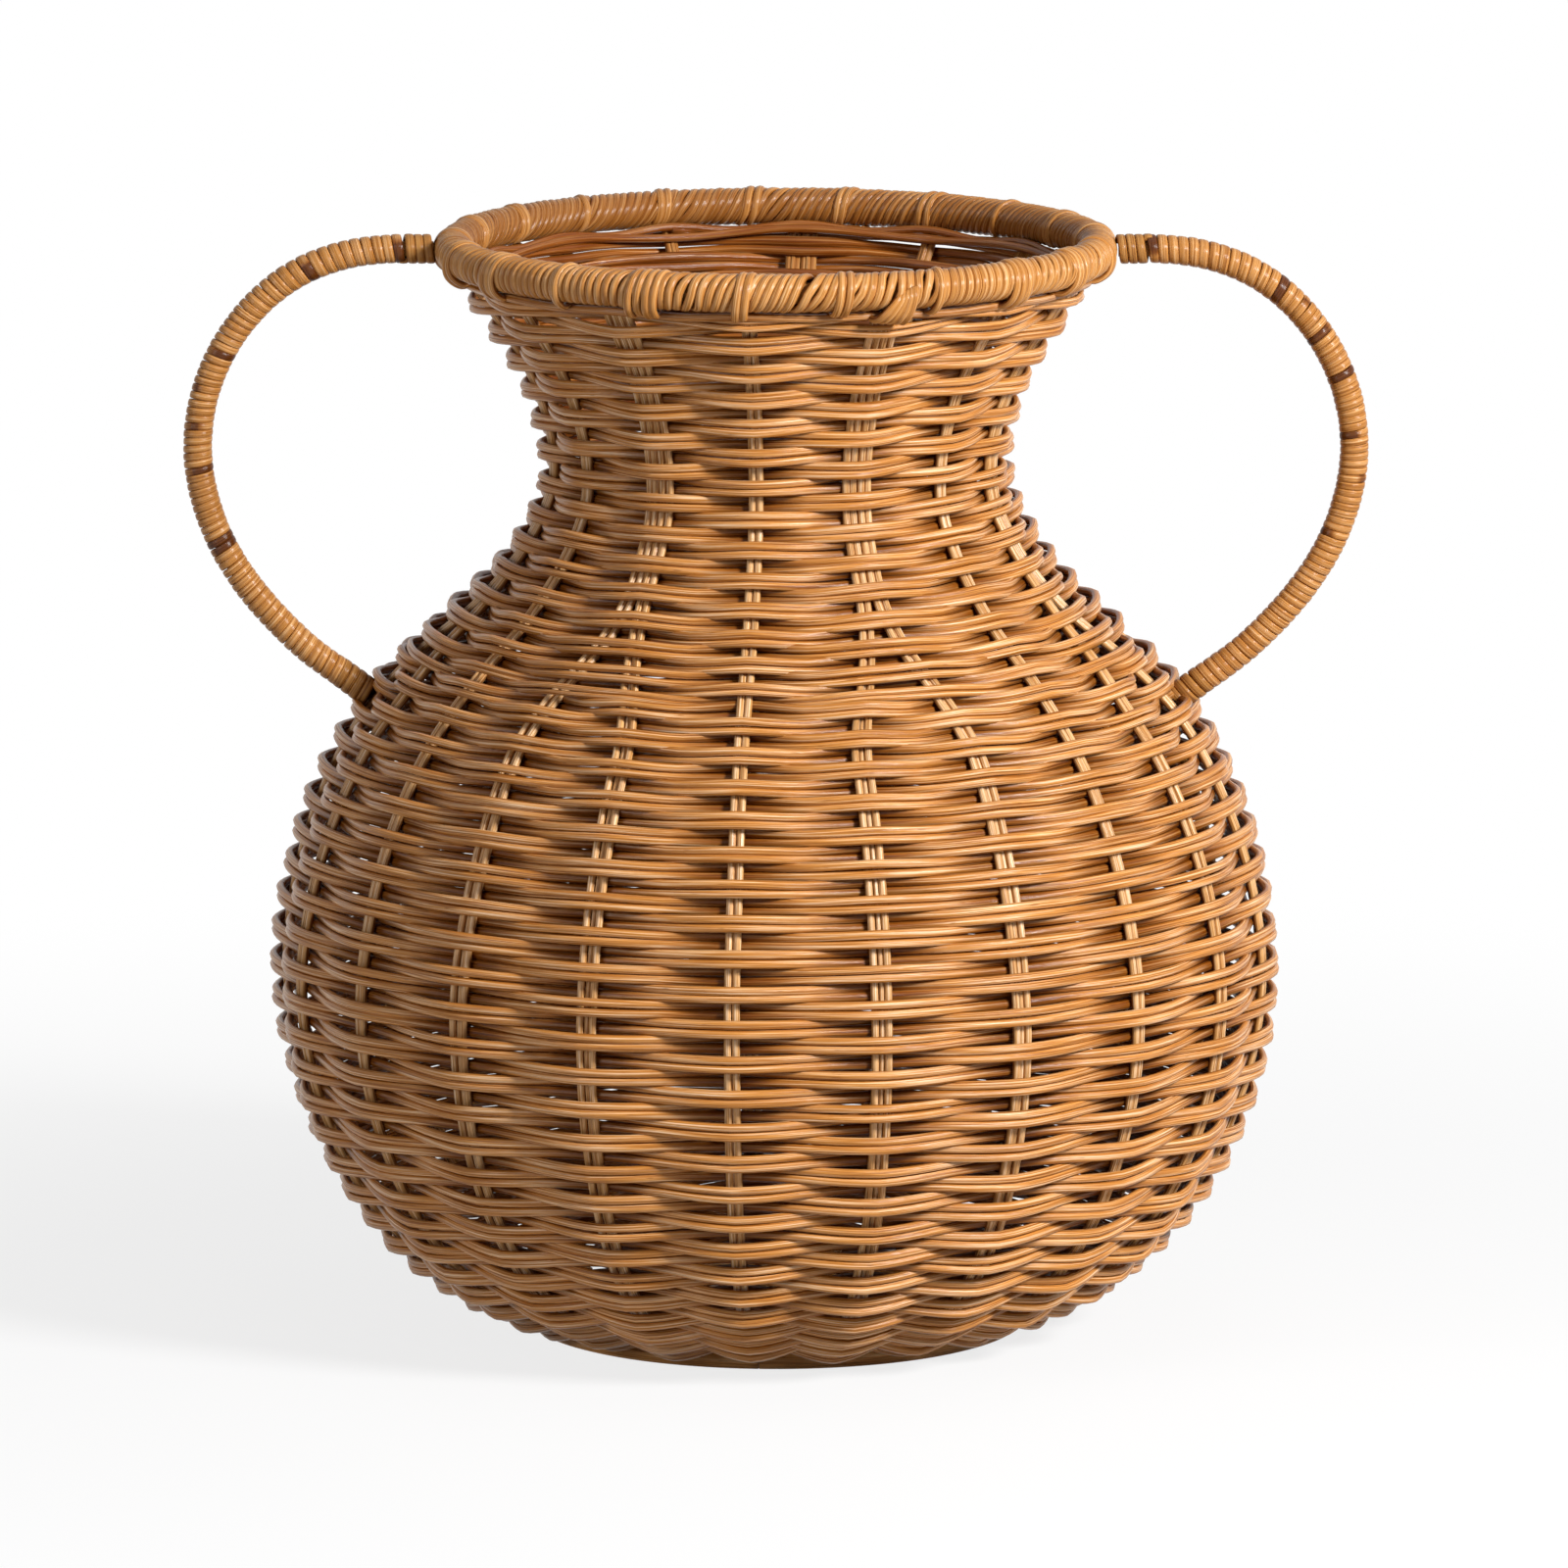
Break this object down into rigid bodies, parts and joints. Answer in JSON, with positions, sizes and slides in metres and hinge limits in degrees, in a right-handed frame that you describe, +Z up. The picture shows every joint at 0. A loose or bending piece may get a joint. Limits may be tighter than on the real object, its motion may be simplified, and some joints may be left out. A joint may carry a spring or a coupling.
{
  "type": "planter basket",
  "caption": "Urn-shaped woven rattan planter basket with a round belly, narrow neck, wrapped rim hoop and two looped side handles.",
  "frame": {"origin": "on the floor, under the middle of the mouth", "axes": "+Z up; the handles are on the X axis, at -X and +X; the front faces -Y"},
  "size_m": [0.4204, 0.3585, 0.3949],
  "materials": {
    "stake_rattan": "satin peeled rattan rod",
    "weaver_rattan": "satin varnished rattan rod, honey brown",
    "wrap_rattan": "semi-gloss rattan wrapping, golden brown",
    "core_rattan": "satin thick rattan rod, brown",
    "dark_lashing": "dark-stained cane strip"
  },
  "bodies": {
    "root": {"base_stick_1": "stake_rattan", "base_stick_2": "stake_rattan", "base_stick_3": "stake_rattan", "base_stick_4": "stake_rattan", "base_stick_5": "stake_rattan", "base_stick_6": "stake_rattan", "base_weaver_1": "weaver_rattan", "base_weaver_2": "weaver_rattan", "belly_weaver_01": "weaver_rattan", "belly_weaver_02": "weaver_rattan", "belly_weaver_03": "weaver_rattan", "belly_weaver_04": "weaver_rattan", "belly_weaver_05": "weaver_rattan", "belly_weaver_06": "weaver_rattan", "belly_weaver_07": "weaver_rattan", "belly_weaver_08": "weaver_rattan", "belly_weaver_09": "weaver_rattan", "belly_weaver_10": "weaver_rattan", "belly_weaver_11": "weaver_rattan", "belly_weaver_12": "weaver_rattan", "foot_hoop": "core_rattan", "left_bottom_lashing": "dark_lashing", "left_handle_rod": "core_rattan", "left_handle_wrap": "wrap_rattan", "left_top_lashing": "dark_lashing", "neck_weaver_a1": "weaver_rattan", "neck_weaver_a2": "weaver_rattan", "neck_weaver_a3": "weaver_rattan", "neck_weaver_b1": "weaver_rattan", "neck_weaver_b2": "weaver_rattan", "neck_weaver_b3": "weaver_rattan", "right_bottom_lashing": "dark_lashing", "right_handle_rod": "core_rattan", "right_handle_wrap": "wrap_rattan", "right_top_lashing": "dark_lashing", "rim_hoop": "core_rattan", "rim_wrap": "wrap_rattan", "stake_01": "stake_rattan", "stake_02": "stake_rattan", "stake_03": "stake_rattan", "stake_04": "stake_rattan", "stake_05": "stake_rattan", "stake_06": "stake_rattan", "stake_07": "stake_rattan", "stake_08": "stake_rattan", "stake_09": "stake_rattan", "stake_10": "stake_rattan", "stake_11": "stake_rattan", "stake_12": "stake_rattan", "stake_13": "stake_rattan", "stake_14": "stake_rattan", "stake_15": "stake_rattan", "stake_16": "stake_rattan", "stake_17": "stake_rattan", "stake_18": "stake_rattan", "stake_19": "stake_rattan", "stake_20": "stake_rattan", "stake_21": "stake_rattan"}
  },
  "joints": []
}
